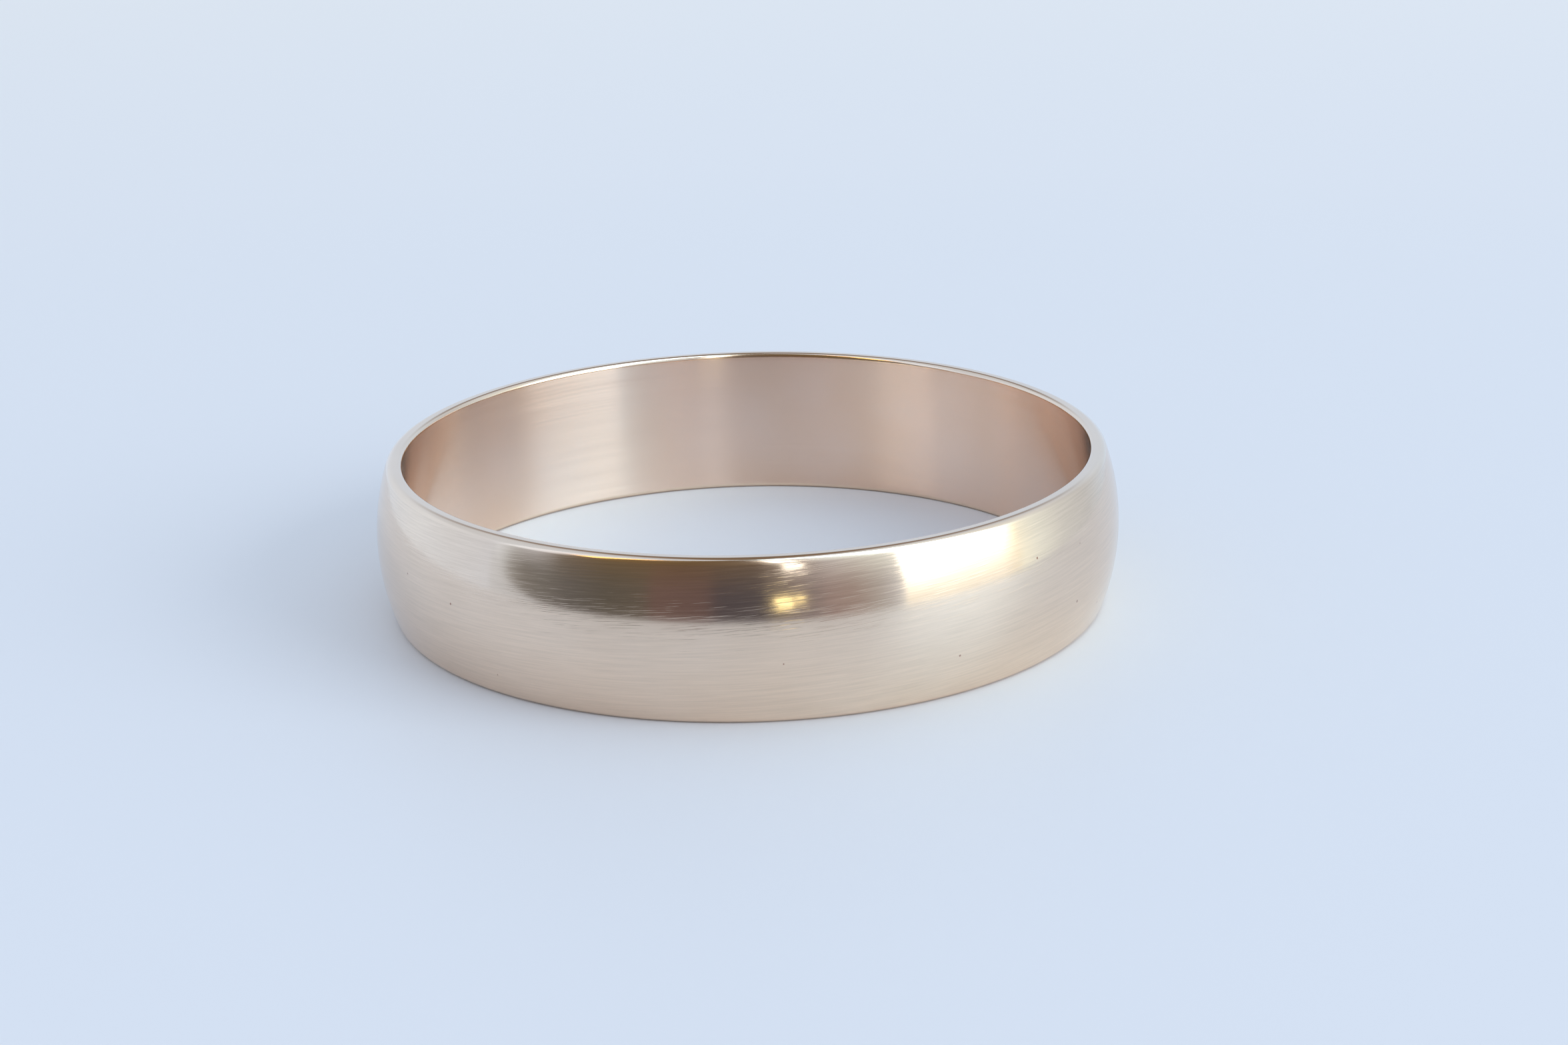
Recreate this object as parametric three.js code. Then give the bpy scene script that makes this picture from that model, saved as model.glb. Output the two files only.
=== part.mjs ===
// A plain wedding band of half-round (D) section, lying on its side edge.
// It is one seamless piece of metal, so the whole object is one mesh.
//
// Units are millimetres. +Z is the axis of the finger hole. The origin is on that axis, in the
// plane of the lower side edge, on which the band rests.
import * as THREE from "three";

// ---- driving dimensions ----
const FINGER_HOLE_DIAMETER = 17.5; // ring size 55
const BAND_WIDTH = 4.0; // along the finger, from one side edge to the other
const CROWN_THICKNESS = 0.75; // wall at the middle of the band, where the dome is highest
const EDGE_THICKNESS = 0.37; // wall at the side edges, before their corners are rounded
const OUTER_EDGE_RADIUS = 0.2; // rounded shoulder between the dome and a side edge
const INNER_EDGE_RADIUS = 0.12; // softened corner between the finger hole and a side edge

// ---- how finely the curves are divided ----
const STEPS_AROUND = 96;
const DOME_STEPS = 14;
const OUTER_EDGE_STEPS = 4;
const INNER_EDGE_STEPS = 3;

// ---- sizes that follow ----
const HOLE_RADIUS = FINGER_HOLE_DIAMETER / 2;
const HALF_WIDTH = BAND_WIDTH / 2;
const CROWN_RADIUS = HOLE_RADIUS + CROWN_THICKNESS;
const DOME_RISE = CROWN_THICKNESS - EDGE_THICKNESS;

// The dome is one circular arc through both side edges and the crown.
const DOME_ARC_RADIUS = (DOME_RISE ** 2 + HALF_WIDTH ** 2) / (2 * DOME_RISE);
const DOME_ARC_CENTRE = CROWN_RADIUS - DOME_ARC_RADIUS; // distance from the band's axis

const COLOURS = { paleGold: 0xe6c9a8 };

// Points along an arc of the section, from one angle to the other, both ends included.
// Angle 0 points away from the finger hole, and a quarter turn points along +Z.
function arcPoints(centreRadius, centreHeight, arcRadius, fromAngle, toAngle, steps) {
  const points = [];
  for (let i = 0; i <= steps; i += 1) {
    const angle = fromAngle + ((toAngle - fromAngle) * i) / steps;
    points.push(
      new THREE.Vector2(
        centreRadius + arcRadius * Math.cos(angle),
        centreHeight + arcRadius * Math.sin(angle),
      ),
    );
  }
  return points;
}

// The upper half of the section, from the crown round to the finger hole. Heights are measured
// from the band's middle plane.
function upperHalfOfSection() {
  const quarterTurn = Math.PI / 2;

  // The outer corner is an arc that touches the dome from inside and touches the side edge.
  const cornerHeight = HALF_WIDTH - OUTER_EDGE_RADIUS;
  const cornerReach = DOME_ARC_RADIUS - OUTER_EDGE_RADIUS;
  const domeEndAngle = Math.asin(cornerHeight / cornerReach);
  const cornerRadius = DOME_ARC_CENTRE + cornerReach * Math.cos(domeEndAngle);

  const dome = arcPoints(DOME_ARC_CENTRE, 0, DOME_ARC_RADIUS, 0, domeEndAngle, DOME_STEPS / 2);
  const outerCorner = arcPoints(
    cornerRadius,
    cornerHeight,
    OUTER_EDGE_RADIUS,
    domeEndAngle,
    quarterTurn,
    OUTER_EDGE_STEPS,
  );
  const innerCorner = arcPoints(
    HOLE_RADIUS + INNER_EDGE_RADIUS,
    HALF_WIDTH - INNER_EDGE_RADIUS,
    INNER_EDGE_RADIUS,
    quarterTurn,
    2 * quarterTurn,
    INNER_EDGE_STEPS,
  );
  return [...dome, ...outerCorner.slice(1), ...innerCorner];
}

// The whole section as a closed outline: the upper half, then its mirror image back to the crown.
function sectionOutline() {
  const upper = upperHalfOfSection();
  const lower = upper.map((point) => new THREE.Vector2(point.x, -point.y)).reverse();
  return [...upper, ...lower];
}

function makeBand() {
  const geometry = new THREE.LatheGeometry(sectionOutline(), STEPS_AROUND);
  geometry.rotateX(Math.PI / 2); // the lathe turns about Y, and the band's axis is Z
  const material = new THREE.MeshStandardMaterial({
    color: COLOURS.paleGold,
    roughness: 0.3,
    metalness: 1,
  });
  const band = new THREE.Mesh(geometry, material);
  band.name = "band";
  band.position.z = HALF_WIDTH;
  return band;
}

const weddingBand = new THREE.Group();
weddingBand.add(makeBand());

export default weddingBand;
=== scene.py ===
"""A plain half-round gold wedding band lying on a pale table, in soft daylight from one side."""

import math

import bmesh
import bpy
from mathutils import Matrix, Vector


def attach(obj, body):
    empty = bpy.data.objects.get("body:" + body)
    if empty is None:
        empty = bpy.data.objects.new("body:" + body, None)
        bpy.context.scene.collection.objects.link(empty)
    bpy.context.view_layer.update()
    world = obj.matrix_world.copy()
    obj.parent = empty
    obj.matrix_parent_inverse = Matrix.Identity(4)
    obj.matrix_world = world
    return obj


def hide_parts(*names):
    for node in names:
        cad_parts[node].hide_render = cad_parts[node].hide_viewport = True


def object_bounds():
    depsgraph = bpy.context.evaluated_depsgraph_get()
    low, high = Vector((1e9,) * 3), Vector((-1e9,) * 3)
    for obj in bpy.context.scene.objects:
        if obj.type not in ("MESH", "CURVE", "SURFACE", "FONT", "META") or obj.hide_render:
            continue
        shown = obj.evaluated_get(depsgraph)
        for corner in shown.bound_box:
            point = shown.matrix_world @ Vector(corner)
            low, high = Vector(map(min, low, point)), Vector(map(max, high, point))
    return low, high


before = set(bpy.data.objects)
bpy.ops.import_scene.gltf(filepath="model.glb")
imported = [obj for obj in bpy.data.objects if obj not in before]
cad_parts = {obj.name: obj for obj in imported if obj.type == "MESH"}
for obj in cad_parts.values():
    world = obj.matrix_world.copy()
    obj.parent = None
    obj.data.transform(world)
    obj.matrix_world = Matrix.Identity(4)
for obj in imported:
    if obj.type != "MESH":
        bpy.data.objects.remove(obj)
cad_low, cad_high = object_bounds()

MM = 0.001
LINE_UNIT = 1e-6  # the depth that a bump height of 1 stands for

# ---- the band's section, in metres ----
CROWN_RADIUS = cad_high.x
BAND_WIDTH = cad_high.z - cad_low.z
HALF_WIDTH = BAND_WIDTH / 2
HOLE_RADIUS = min(v.co.xy.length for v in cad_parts["band"].data.vertices)
EDGE_THICKNESS = 0.37 * MM
OUTER_EDGE_RADIUS = 0.20 * MM
INNER_EDGE_RADIUS = 0.12 * MM

# ---- how finely the band is divided ----
STEPS_AROUND = 480
DOME_STEPS = 64
OUTER_EDGE_STEPS = 20
INNER_EDGE_STEPS = 10
FLAT_STEPS = 3
HOLE_STEPS = 24

# ---- the metal ----
# Colours are linear light, and each finish drifts between its pale and its warm one. The lines are
# the fine ones that polishing leaves along the band: how deep, wide and long they are, how far one
# climbs per unit along X, and how much darker they can be. Waver is how far the roughness drifts.
DOME_FINISH = {
    "pale": (0.90, 0.725, 0.575),
    "warm": (0.87, 0.68, 0.52),
    "roughness": 0.115,
    "waver": 0.025,
    "anisotropy": 0.3,
    "line_depth": 0.40e-6,
    "line_width": 0.036 * MM,
    "line_length": 1.4 * MM,
    "line_climb": 0.05,
    "line_shade": 0.12,
    "scratch_depth": 0.55e-6,
    "speck_share": 0.3,
}
EDGE_FINISH = {
    "pale": (0.90, 0.725, 0.575),
    "warm": (0.87, 0.68, 0.52),
    "roughness": 0.13,
    "waver": 0.03,
    "anisotropy": 0.0,
    "line_depth": 0.3e-6,
    "line_width": 0.06 * MM,
    "line_length": 2.0 * MM,
    "line_climb": 0.0,
    "line_shade": 0.05,
    "scratch_depth": 0.4e-6,
    "speck_share": 0.0,
}
# The hole's pale and warm colours are a little redder than the dome's: painted reflection, standing in
# for the deeper gold that light takes on as it bounces round inside the band.
HOLE_FINISH = {
    "pale": (0.89, 0.70, 0.585),
    "warm": (0.88, 0.65, 0.50),
    "roughness": 0.225,
    "waver": 0.015,
    "anisotropy": 1.0,
    "line_depth": 0.15e-6,
    "line_width": 0.07 * MM,
    "line_length": 5.0 * MM,
    "line_climb": 0.0,
    "line_shade": 0.03,
    "scratch_depth": 0.0,
    "speck_share": 0.0,
}

LINE_DETAIL = 3.0
SCRATCH_DETAIL = 1.0
SCRATCH_LENGTH = 0.7  # this and the next two multiply the values of the finish's own lines
SCRATCH_WIDTH = 0.6
SCRATCH_CLIMB = 1.6
SCRATCH_NOISE = (0.57, 0.72)  # the noise at which a scratch begins, and at which it is full
CLOUD_SIZE = 3 * MM
CLOUD_DETAIL = 2.0
MOST_WARM = 0.7  # the most of the warm colour that a cloud brings
NOISE_ROUGHNESS = 0.6
NOISE_MIDDLE = (0.3, 0.7)  # nearly all of the noise lies between these
ACROSS_THE_LINES = 0.25  # the turn that points the anisotropy's smear across them

# A few tiny dark specks in the metal's colour, with no dent in the surface: the grid that they are
# picked from, and how big they get.
SPECK_SPACING = 0.6 * MM
SPECK_RADIUS = 0.035 * MM
SPECK_COLOUR = (0.42, 0.24, 0.18, 1)

# ---- the camera, in crown radii and degrees ----
CAMERA_DISTANCE = 7.55
CAMERA_HEIGHT_ANGLE = 18.28
CAMERA_ROLL = 1.64
CAMERA_AIM_RIGHT = 0.738
CAMERA_AIM_DOWN = 0.130
SENSOR_WIDTH_MM = 36.0
LENS_MM = 63.76
NEAREST_SEEN = 1 * MM
FARTHEST_SEEN = 10.0

# ---- the table ----
# The table's colour turns lighter and warmer further back: painted light, standing in for brighter
# light on the far table.
NEAR_TABLE_COLOUR = (0.85, 0.84, 0.845, 1)
FAR_TABLE_PAINTED_LIGHT = (0.95, 0.91, 0.86, 1)
TABLE_PAINTED_LIGHT_REACH = 120 * MM  # how far back the far colour is reached
TABLE_ROUGHNESS = 0.5
TABLE_SHEEN = 0.3
TABLE_SHEEN_REACH = (4 * MM, 55 * MM)  # where the sheen begins to fade, and where it is gone
TABLE_TOP_RADIUS = 28 * MM
FLOOR_RADIUS = 3.0
FLOOR_STEPS = 128
WELD_DISTANCE = 1e-7  # closer points of the floor become one

# ---- what the metal reflects: cards round the band, placed by azimuth and elevation in degrees ----
CARD_DISTANCE = 0.5
CARD_COLUMNS = 48
CARD_ROWS = 24
# The walls, the room, and the window with its sky, all stand between these two elevations.
CARDS_BOTTOM = -12
ZENITH = 90
ROOM_LEFT = -82
ROOM_RIGHT = 45.5  # where the window begins
CORNER_RIGHT = -56
CORNER_TOP = 13
CORNER_LAST_TOP = -7  # its top edge curves down to here
WINDOW_RIGHT = 87
WINDOW_SKYLINE = 24  # above it the window shows blue sky
ROOM_FADE = (4, 28)  # the elevations between which a card's low colours turn into its high ones
WINDOW_FADE = (-6, 20)
WALL_FADE = (22, 38)
ROOM_BRIGHTNESS = 1.34
WINDOW_BRIGHTNESS = 4.0
WINDOW_SKY_BRIGHTNESS = 7.3
LAMP_DISTANCE = 0.45
WHITE_LIGHT = (0.95, 1.0, 1.0)
YELLOW_LIGHT = (1.0, 0.92, 0.50)
AMBER_LIGHT = (1.0, 0.62, 0.22)
LAMPS = (  # name, azimuths, elevations, colour and strength
    ("yellow_lamp", (7.0, 12.0), (-1.0, 4.0), YELLOW_LIGHT, 2.8),
    ("small_yellow_lamp", (13, 15.5), (1.5, 4.5), YELLOW_LIGHT, 2.3),
    ("white_lamp", (10, 16), (17, 24), WHITE_LIGHT, 2.6),
    ("white_shade", (5, 14), (24, 30), WHITE_LIGHT, 1.2),
    ("white_strip", (9, 14), (36, 75), WHITE_LIGHT, 7.0),
    ("warm_lamp", (-61, -54), (38, 70), AMBER_LIGHT, 3.4),
)

# ---- the light that falls on the table ----
SKY_COLOUR = (0.63, 0.735, 0.885, 1)
LIGHT_COLOUR = (0.92, 1.00, 1.10)
LIGHT_DISTANCE = 1.1
LIGHT_WIDTH = 0.80
LIGHT_HEIGHT = 0.60
SOFT_LIGHTS = (  # name, azimuth, elevation and power
    ("window_light", 64, 25, 4.3),
    ("room_light", 25, 18, 0.8),
)


def object_from(mesh, name):
    """Turns a bmesh into an object in the scene."""
    data = bpy.data.meshes.new(name)
    mesh.to_mesh(data)
    mesh.free()
    made = bpy.data.objects.new(name, data)
    bpy.context.scene.collection.objects.link(made)
    return made


def section_outline():
    """The closed section as (distance from the axis, height above the middle plane, zone) points,
    from the crown up and over the upper edge, down the hole and back round to the crown."""
    rise = CROWN_RADIUS - HOLE_RADIUS - EDGE_THICKNESS
    dome_radius = (rise**2 + HALF_WIDTH**2) / (2 * rise)
    dome_centre = CROWN_RADIUS - dome_radius

    corner_height = HALF_WIDTH - OUTER_EDGE_RADIUS
    corner_reach = dome_radius - OUTER_EDGE_RADIUS
    dome_end = math.asin(corner_height / corner_reach)
    corner_at = dome_centre + corner_reach * math.cos(dome_end)
    inner_at = HOLE_RADIUS + INNER_EDGE_RADIUS
    inner_height = HALF_WIDTH - INNER_EDGE_RADIUS

    def arc(centre, height, radius, start, end, steps):
        for i in range(steps):
            angle = start + (end - start) * i / steps
            yield centre + radius * math.cos(angle), height + radius * math.sin(angle)

    quarter = math.pi / 2
    upper = []
    upper += [(*p, "dome") for p in arc(dome_centre, 0, dome_radius, 0, dome_end, DOME_STEPS // 2)]
    upper += [
        (*p, "edge")
        for p in arc(corner_at, corner_height, OUTER_EDGE_RADIUS, dome_end, quarter, OUTER_EDGE_STEPS)
    ]
    for i in range(FLAT_STEPS):
        upper.append((corner_at + (inner_at - corner_at) * i / FLAT_STEPS, HALF_WIDTH, "edge"))
    upper += [
        (*p, "edge")
        for p in arc(inner_at, inner_height, INNER_EDGE_RADIUS, quarter, 2 * quarter, INNER_EDGE_STEPS)
    ]
    for i in range(HOLE_STEPS // 2):
        upper.append((HOLE_RADIUS, inner_height * (1 - 2 * i / HOLE_STEPS), "hole"))
    middle_of_hole = (HOLE_RADIUS, 0.0, "hole")
    # The zone of a point is that of the strip that follows it, so the mirrored half shifts by one.
    mirrored = []
    for i in range(len(upper) - 1, 0, -1):
        radius, height, _ = upper[i]
        mirrored.append((radius, -height, upper[i - 1][2]))
    return upper + [middle_of_hole] + mirrored


def make_band():
    """The band as one closed, smooth-shaded mesh whose faces know which zone they are in."""
    outline = section_outline()
    zones = {"dome": 0, "edge": 1, "hole": 2}
    mesh = bmesh.new()
    rings = []
    for step in range(STEPS_AROUND):
        turn = 2 * math.pi * step / STEPS_AROUND
        rings.append([
            mesh.verts.new((r * math.cos(turn), r * math.sin(turn), HALF_WIDTH + h))
            for r, h, _ in outline
        ])
    for step in range(STEPS_AROUND):
        here = rings[step]
        there = rings[(step + 1) % STEPS_AROUND]
        for i, (_, _, zone) in enumerate(outline):
            j = (i + 1) % len(outline)
            face = mesh.faces.new((here[i], there[i], there[j], here[j]))
            face.smooth = True
            face.material_index = zones[zone]
    bmesh.ops.recalc_face_normals(mesh, faces=mesh.faces)
    return object_from(mesh, "wedding_band")


class Nodes:
    """A small helper that adds nodes to a material and links them."""

    def __init__(self, material):
        material.use_nodes = True
        self.tree = material.node_tree
        self.shader = self.tree.nodes["Principled BSDF"]

    def add(self, kind, settings=None, inputs=None):
        node = self.tree.nodes.new(kind)
        for name, value in (settings or {}).items():
            setattr(node, name, value)
        for name, value in (inputs or {}).items():
            if isinstance(value, bpy.types.NodeSocket):
                self.tree.links.new(value, node.inputs[name])
            else:
                node.inputs[name].default_value = value
        return node

    def math(self, operation, a, b):
        return self.add("ShaderNodeMath", {"operation": operation}, {0: a, 1: b}).outputs[0]

    def mix(self, blend_type, factor, a, b):
        """The mix node has a set of sockets for each data type, and 6, 7 and 2 are the colour ones."""
        return self.add(
            "ShaderNodeMix",
            {"data_type": "RGBA", "blend_type": blend_type},
            {0: factor, 6: a, 7: b},
        ).outputs[2]

    def link(self, output, name):
        self.tree.links.new(output, self.shader.inputs[name])


def streaks(nodes, position, length, width, climb, detail):
    """Noise drawn out into long fine lines that run round the band, and climb along X."""
    split = nodes.add("ShaderNodeSeparateXYZ", inputs={0: position})
    uphill = nodes.math("MULTIPLY", split.outputs["X"], climb)
    across = nodes.math("SUBTRACT", split.outputs["Z"], uphill)
    stretched = nodes.add(
        "ShaderNodeCombineXYZ",
        inputs={
            0: nodes.math("DIVIDE", split.outputs["X"], length),
            1: nodes.math("DIVIDE", split.outputs["Y"], length),
            2: nodes.math("DIVIDE", across, width),
        },
    )
    noise = nodes.add(
        "ShaderNodeTexNoise",
        inputs={
            "Vector": stretched.outputs[0],
            "Scale": 1.0,
            "Detail": detail,
            "Roughness": NOISE_ROUGHNESS,
        },
    )
    return noise.outputs["Fac"]


def scaled(nodes, value, low, high):
    """The noise's middle range, stretched to run from low to high."""
    node = nodes.add(
        "ShaderNodeMapRange",
        inputs={
            "Value": value,
            "From Min": NOISE_MIDDLE[0],
            "From Max": NOISE_MIDDLE[1],
            "To Min": low,
            "To Max": high,
        },
    )
    return node.outputs["Result"]


def dark_specks(nodes, position, share):
    """1 inside a scattered tiny dark speck, and 0 elsewhere. Share is how many of the grid's specks are
    left.
    """
    cells = nodes.add("ShaderNodeTexVoronoi", inputs={"Vector": position, "Scale": 1 / SPECK_SPACING})
    inside = nodes.math("LESS_THAN", cells.outputs["Distance"], SPECK_RADIUS / SPECK_SPACING)
    chance = nodes.add("ShaderNodeSeparateXYZ", inputs={0: cells.outputs["Color"]}).outputs["X"]
    return nodes.math("MULTIPLY", inside, nodes.math("LESS_THAN", chance, share))


def gold(name, finish):
    """Gold with fine lines along the band. A high anisotropy smears reflections across the lines."""
    material = bpy.data.materials.new(name)
    nodes = Nodes(material)
    shader = nodes.shader
    shader.inputs["Metallic"].default_value = 1.0
    shader.inputs["Anisotropic"].default_value = finish["anisotropy"]
    shader.inputs["Anisotropic Rotation"].default_value = ACROSS_THE_LINES
    tangent = nodes.add("ShaderNodeTangent", {"direction_type": "RADIAL", "axis": "Z"})
    nodes.link(tangent.outputs[0], "Tangent")

    position = nodes.add("ShaderNodeTexCoord").outputs["Object"]
    width = finish["line_width"]
    length = finish["line_length"]
    climb = finish["line_climb"]
    lines = streaks(nodes, position, length, width, climb, LINE_DETAIL)
    fine_lines = streaks(
        nodes,
        position,
        length * SCRATCH_LENGTH,
        width * SCRATCH_WIDTH,
        climb * SCRATCH_CLIMB,
        SCRATCH_DETAIL,
    )
    clouds = nodes.add(
        "ShaderNodeTexNoise",
        inputs={"Vector": position, "Scale": 1 / CLOUD_SIZE, "Detail": CLOUD_DETAIL},
    ).outputs["Fac"]

    warmth = scaled(nodes, clouds, 0.0, MOST_WARM)
    blend = nodes.mix("MIX", warmth, (*finish["pale"], 1), (*finish["warm"], 1))
    lightness = scaled(nodes, lines, 1 - finish["line_shade"], 1.0)
    metal = nodes.mix("MULTIPLY", 1.0, blend, lightness)
    if finish["speck_share"] > 0:
        metal = nodes.mix("MIX", dark_specks(nodes, position, finish["speck_share"]), metal, SPECK_COLOUR)
    nodes.link(metal, "Base Color")

    waver = finish["waver"]
    wavering = nodes.math(
        "ADD",
        scaled(nodes, lines, -waver, waver),
        scaled(nodes, clouds, -waver / 2, waver / 2),
    )
    nodes.link(nodes.math("ADD", wavering, finish["roughness"]), "Roughness")

    # A few deeper scratches stand out where the noise is highest.
    scratches = nodes.add(
        "ShaderNodeMapRange",
        inputs={"Value": fine_lines, "From Min": SCRATCH_NOISE[0], "From Max": SCRATCH_NOISE[1]},
    ).outputs["Result"]
    height = nodes.math(
        "ADD",
        nodes.math("MULTIPLY", lines, finish["line_depth"] / LINE_UNIT),
        nodes.math("MULTIPLY", scratches, finish["scratch_depth"] / LINE_UNIT),
    )
    bump = nodes.add(
        "ShaderNodeBump", inputs={"Strength": 1.0, "Distance": LINE_UNIT, "Height": height}
    )
    nodes.link(bump.outputs[0], "Normal")
    return material


def direction(azimuth, elevation):
    """A unit vector. Azimuth 0 points at the camera's side, along -Y, and 90 along +X."""
    a = math.radians(azimuth)
    e = math.radians(elevation)
    return Vector((math.sin(a) * math.cos(e), -math.cos(a) * math.cos(e), math.sin(e)))


def make_floor(name, inner, outer, reflected):
    """A flat ring of floor, or a disc where inner is 0. Reflected says whether the metal shows it."""
    mesh = bmesh.new()
    turns = [2 * math.pi * i / FLOOR_STEPS for i in range(FLOOR_STEPS)]
    rims = [
        [mesh.verts.new((radius * math.sin(turn), radius * math.cos(turn), 0)) for turn in turns]
        for radius in (inner, outer)
    ]
    for i in range(FLOOR_STEPS):
        j = (i + 1) % FLOOR_STEPS
        mesh.faces.new((rims[0][i], rims[1][i], rims[1][j], rims[0][j]))
    bmesh.ops.remove_doubles(mesh, verts=mesh.verts, dist=WELD_DISTANCE)
    bmesh.ops.recalc_face_normals(mesh, faces=mesh.faces)
    floor = object_from(mesh, name)
    floor.visible_glossy = reflected
    return floor


def table_material():
    """A painted table whose colour is painted lighter and warmer further back, as painted light. Its
    faint sheen fades away from the band.
    """
    material = bpy.data.materials.new("pale_table")
    nodes = Nodes(material)
    nodes.shader.inputs["Roughness"].default_value = TABLE_ROUGHNESS
    position = nodes.add("ShaderNodeTexCoord").outputs["Object"]
    split = nodes.add("ShaderNodeSeparateXYZ", inputs={0: position})
    depth = nodes.add(
        "ShaderNodeMapRange",
        inputs={"Value": split.outputs["Y"], "From Min": 0.0, "From Max": TABLE_PAINTED_LIGHT_REACH},
    ).outputs["Result"]
    nodes.link(nodes.mix("MIX", depth, NEAR_TABLE_COLOUR, FAR_TABLE_PAINTED_LIGHT), "Base Color")
    reach = nodes.add("ShaderNodeVectorMath", {"operation": "LENGTH"}, {0: position}).outputs["Value"]
    sheen = nodes.add(
        "ShaderNodeMapRange",
        {"interpolation_type": "SMOOTHSTEP"},
        {
            "Value": reach,
            "From Min": TABLE_SHEEN_REACH[0],
            "From Max": TABLE_SHEEN_REACH[1],
            "To Min": TABLE_SHEEN,
            "To Max": 0.0,
        },
    ).outputs["Result"]
    nodes.link(sheen, "Specular IOR Level")
    return material


def make_card(name, azimuths, elevations, material, distance, last_top):
    """A patch of a sphere round the band, which only its reflections show. Where last_top is given,
    its upper edge curves down to that elevation at the last azimuth, round a corner."""
    mesh = bmesh.new()
    uv_layer = mesh.loops.layers.uv.new("uv")
    grid = []
    bottom, top = elevations
    drop = 0 if last_top is None else top - last_top
    for i in range(CARD_COLUMNS + 1):
        azimuth = azimuths[0] + (azimuths[1] - azimuths[0]) * i / CARD_COLUMNS
        height = top - bottom - drop * math.sqrt(1 - (1 - i / CARD_COLUMNS) ** 2)
        grid.append([
            mesh.verts.new(direction(azimuth, bottom + height * j / CARD_ROWS) * distance)
            for j in range(CARD_ROWS + 1)
        ])
    for i in range(CARD_COLUMNS):
        for j in range(CARD_ROWS):
            corners = ((i, j), (i + 1, j), (i + 1, j + 1), (i, j + 1))
            face = mesh.faces.new([grid[a][b] for a, b in corners])
            for loop, (a, b) in zip(face.loops, corners):
                loop[uv_layer].uv = (a / CARD_COLUMNS, b / CARD_ROWS)
    card = object_from(mesh, name)
    card.data.materials.append(material)
    card.visible_camera = False
    card.visible_diffuse = False
    card.visible_shadow = False
    card.visible_transmission = False


def colour_ramp(nodes, azimuths, across, stops):
    """A colour that changes with azimuth, given as (azimuth, colour) stops."""
    ramp = nodes.add("ShaderNodeValToRGB", inputs={0: across})
    elements = ramp.color_ramp.elements
    while len(elements) < len(stops):
        elements.new(0.5)
    for element, (azimuth, colour) in zip(elements, stops):
        element.position = (azimuth - azimuths[0]) / (azimuths[1] - azimuths[0])
        element.color = (*colour, 1)
    return ramp.outputs[0]


def glow_material(name, azimuths, elevations, low_stops, high_stops, fade, strength):
    """Light whose colour runs across a card by azimuth, with one run of colours low down and
    another high up. Fade gives the elevations between which the low one turns into the high one."""
    material = bpy.data.materials.new(name)
    nodes = Nodes(material)
    nodes.shader.inputs["Base Color"].default_value = (0, 0, 0, 1)
    nodes.shader.inputs["Specular IOR Level"].default_value = 0.0
    nodes.shader.inputs["Emission Strength"].default_value = strength
    where = nodes.add("ShaderNodeTexCoord").outputs["UV"]
    split = nodes.add("ShaderNodeSeparateXYZ", inputs={0: where})
    span = elevations[1] - elevations[0]
    climb = nodes.add(
        "ShaderNodeMapRange",
        {"interpolation_type": "SMOOTHSTEP"},
        {
            "Value": split.outputs["Y"],
            "From Min": (fade[0] - elevations[0]) / span,
            "From Max": (fade[1] - elevations[0]) / span,
        },
    ).outputs["Result"]
    low = colour_ramp(nodes, azimuths, split.outputs["X"], low_stops)
    high = colour_ramp(nodes, azimuths, split.outputs["X"], high_stops)
    nodes.link(nodes.mix("MIX", climb, low, high), "Emission Color")
    return material


def make_glow(
    name,
    azimuths,
    elevations,
    low_stops,
    high_stops,
    fade,
    strength=1.0,
    distance=CARD_DISTANCE,
    last_top=None,
):
    """A card that gives off light of its own."""
    material = glow_material(name, azimuths, elevations, low_stops, high_stops, fade, strength)
    make_card(name, azimuths, elevations, material, distance, last_top)


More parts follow.
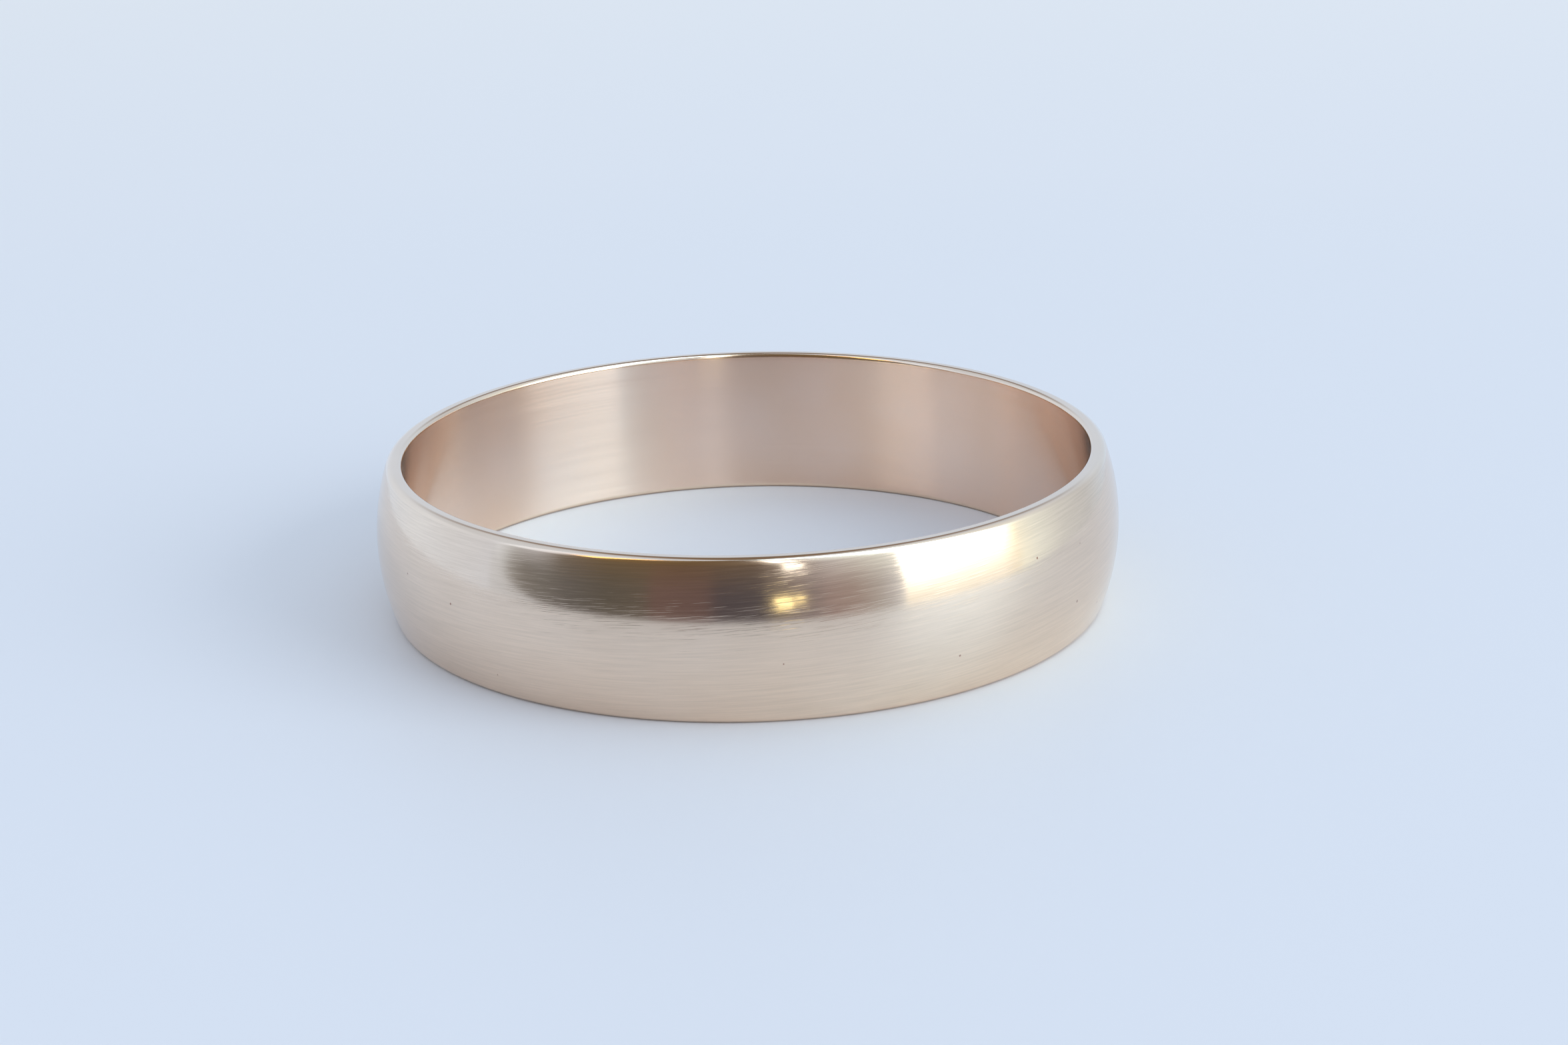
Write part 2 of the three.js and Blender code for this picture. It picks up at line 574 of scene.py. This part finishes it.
def make_surroundings():
    """What the polished metal reflects: a dim room in front, a window on the right, pale walls."""
    where = (ROOM_LEFT, ROOM_RIGHT), (CARDS_BOTTOM, ZENITH)
    low = [
        (ROOM_LEFT, (0.60, 0.72, 0.90)),
        (-77.5, (0.44, 0.52, 0.62)),
        (-74.5, (0.26, 0.29, 0.32)),
        (-70, (0.17, 0.18, 0.19)),
        (-64, (0.145, 0.155, 0.165)),
        (-54, (0.105, 0.11, 0.118)),
        (-42, (0.090, 0.09, 0.085)),
        (-31, (0.100, 0.095, 0.088)),
        (-28, (0.125, 0.092, 0.092)),
        (-13, (0.110, 0.082, 0.087)),
        (-9, (0.070, 0.066, 0.082)),
        (3, (0.070, 0.069, 0.086)),
        (7, (0.15, 0.145, 0.14)),
        (15, (0.20, 0.19, 0.21)),
        (18, (0.19, 0.18, 0.205)),
        (23, (0.26, 0.225, 0.24)),
        (31, (0.28, 0.255, 0.265)),
        (38, (0.35, 0.37, 0.40)),
        (43, (0.45, 0.50, 0.58)),
        (ROOM_RIGHT, (0.62, 0.72, 0.82)),
    ]
    high = [
        (ROOM_LEFT, (0.76, 0.92, 1.14)),
        (-67, (0.66, 0.76, 0.93)),
        (-58, (0.18, 0.15, 0.11)),
        (-45, (0.15, 0.112, 0.06)),
        (-20, (0.12, 0.085, 0.05)),
        (2, (0.13, 0.105, 0.08)),
        (14, (0.26, 0.24, 0.24)),
        (24, (0.50, 0.56, 0.64)),
        (ROOM_RIGHT, (0.80, 0.95, 1.00)),
    ]
    make_glow("dim_room", *where, low, high, ROOM_FADE, ROOM_BRIGHTNESS)

    # A pale card in front of the room's lower left corner makes that corner round.
    where = (ROOM_LEFT, CORNER_RIGHT), (CARDS_BOTTOM, CORNER_TOP)
    pale = [(ROOM_LEFT, (0.66, 0.78, 0.95)), (CORNER_RIGHT, (0.50, 0.56, 0.66))]
    make_glow(
        "left_corner",
        *where,
        pale,
        pale,
        where[1],
        distance=LAMP_DISTANCE,
        last_top=CORNER_LAST_TOP,
    )

    where = (ROOM_RIGHT, WINDOW_RIGHT), (CARDS_BOTTOM, WINDOW_SKYLINE)
    low = [
        (ROOM_RIGHT, (0.29, 0.31, 0.305)),
        (79, (0.29, 0.31, 0.305)),
        (WINDOW_RIGHT, (0.26, 0.275, 0.25)),
    ]
    high = [
        (ROOM_RIGHT, (0.95, 1.00, 1.00)),
        (79, (0.95, 1.00, 0.98)),
        (WINDOW_RIGHT, (0.36, 0.38, 0.32)),
    ]
    make_glow("window", *where, low, high, WINDOW_FADE, WINDOW_BRIGHTNESS)

    where = (ROOM_RIGHT, WINDOW_RIGHT), (WINDOW_SKYLINE, ZENITH)
    blue = [
        (ROOM_RIGHT, (0.51, 0.84, 1.06)),
        (79, (0.51, 0.84, 1.06)),
        (WINDOW_RIGHT, (0.36, 0.45, 0.45)),
    ]
    make_glow("window_sky", *where, blue, blue, where[1], WINDOW_SKY_BRIGHTNESS)

    where = (WINDOW_RIGHT, 180), (CARDS_BOTTOM, ZENITH)
    low = [
        (WINDOW_RIGHT, (1.10, 1.25, 1.22)),
        (95, (0.92, 1.08, 1.14)),
        (108, (0.72, 0.84, 0.95)),
        (125, (0.62, 0.72, 0.84)),
        (150, (0.68, 0.84, 1.05)),
        (180, (0.68, 0.82, 1.02)),
    ]
    high = [
        (WINDOW_RIGHT, (0.90, 1.00, 1.05)),
        (140, (0.66, 0.78, 0.95)),
        (165, (0.24, 0.19, 0.15)),
        (180, (0.20, 0.16, 0.12)),
    ]
    make_glow("right_wall", *where, low, high, WALL_FADE)

    where = (-180, ROOM_LEFT), (CARDS_BOTTOM, ZENITH)
    low = [
        (-180, (0.68, 0.82, 1.02)),
        (-120, (0.80, 0.95, 1.15)),
        (ROOM_LEFT, (0.72, 0.86, 1.08)),
    ]
    high = [
        (-180, (0.20, 0.16, 0.12)),
        (-165, (0.24, 0.19, 0.15)),
        (-140, (0.66, 0.78, 0.95)),
        (ROOM_LEFT, (0.68, 0.82, 1.02)),
    ]
    make_glow("left_wall", *where, low, high, WALL_FADE)


def make_lamps():
    """The small lights in the dim room, which show as spots and narrow bands on the metal."""
    for name, azimuths, elevations, colour, strength in LAMPS:
        stops = [(azimuths[0], colour), (azimuths[1], colour)]
        make_glow(name, azimuths, elevations, stops, stops, elevations, strength, LAMP_DISTANCE)


def make_soft_light(name, azimuth, elevation, energy):
    """A broad light that falls on the table, and doesn't show in the metal."""
    lamp = bpy.data.lights.new(name, "AREA")
    lamp.shape = "RECTANGLE"
    lamp.size = LIGHT_WIDTH
    lamp.size_y = LIGHT_HEIGHT
    lamp.color = LIGHT_COLOUR
    lamp.energy = energy
    light = bpy.data.objects.new(name, lamp)
    towards = direction(azimuth, elevation)
    light.location = towards * LIGHT_DISTANCE
    light.rotation_mode = "QUATERNION"
    light.rotation_quaternion = towards.to_track_quat("Z", "Y")
    light.visible_camera = False
    light.visible_glossy = False
    bpy.context.scene.collection.objects.link(light)


def make_daylight():
    """An even pale sky, the window's light from the right and a little light from the room."""
    world = bpy.data.worlds.new("pale_sky")
    world.use_nodes = True
    world.node_tree.nodes["Background"].inputs["Color"].default_value = SKY_COLOUR
    bpy.context.scene.world = world
    for soft_light in SOFT_LIGHTS:
        make_soft_light(*soft_light)


def make_camera():
    """Looks down at the band from the front, turned a little so that the band is left of centre."""
    lens = bpy.data.cameras.new("camera")
    lens.sensor_width = SENSOR_WIDTH_MM
    lens.lens = LENS_MM
    lens.clip_start = NEAREST_SEEN
    lens.clip_end = FARTHEST_SEEN
    camera = bpy.data.objects.new("camera", lens)
    centre = (cad_low + cad_high) / 2
    back = direction(0, CAMERA_HEIGHT_ANGLE)
    aim = (-back).to_track_quat("-Z", "Y").to_matrix()
    turn = Matrix.Rotation(math.radians(-CAMERA_ROLL), 3, "Z")
    pan = Matrix.Rotation(math.radians(-CAMERA_AIM_RIGHT), 3, "Y")
    tilt = Matrix.Rotation(math.radians(-CAMERA_AIM_DOWN), 3, "X")
    camera.rotation_mode = "QUATERNION"
    camera.rotation_quaternion = (aim @ turn @ pan @ tilt).to_quaternion()
    camera.location = centre + back * CAMERA_DISTANCE * CROWN_RADIUS
    bpy.context.scene.collection.objects.link(camera)
    bpy.context.scene.camera = camera


make_camera()
band = make_band()
band.data.materials.append(gold("brushed_dome", DOME_FINISH))
band.data.materials.append(gold("polished_edge", EDGE_FINISH))
band.data.materials.append(gold("smooth_hole", HOLE_FINISH))
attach(band, "root")
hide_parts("band")

table = table_material()
for floor in (
    make_floor("table_top", 0.0, TABLE_TOP_RADIUS, True),
    make_floor("far_floor", TABLE_TOP_RADIUS, FLOOR_RADIUS, False),
):
    floor.data.materials.append(table)
make_surroundings()
make_lamps()
make_daylight()
bpy.context.scene.view_settings.view_transform = "Standard"
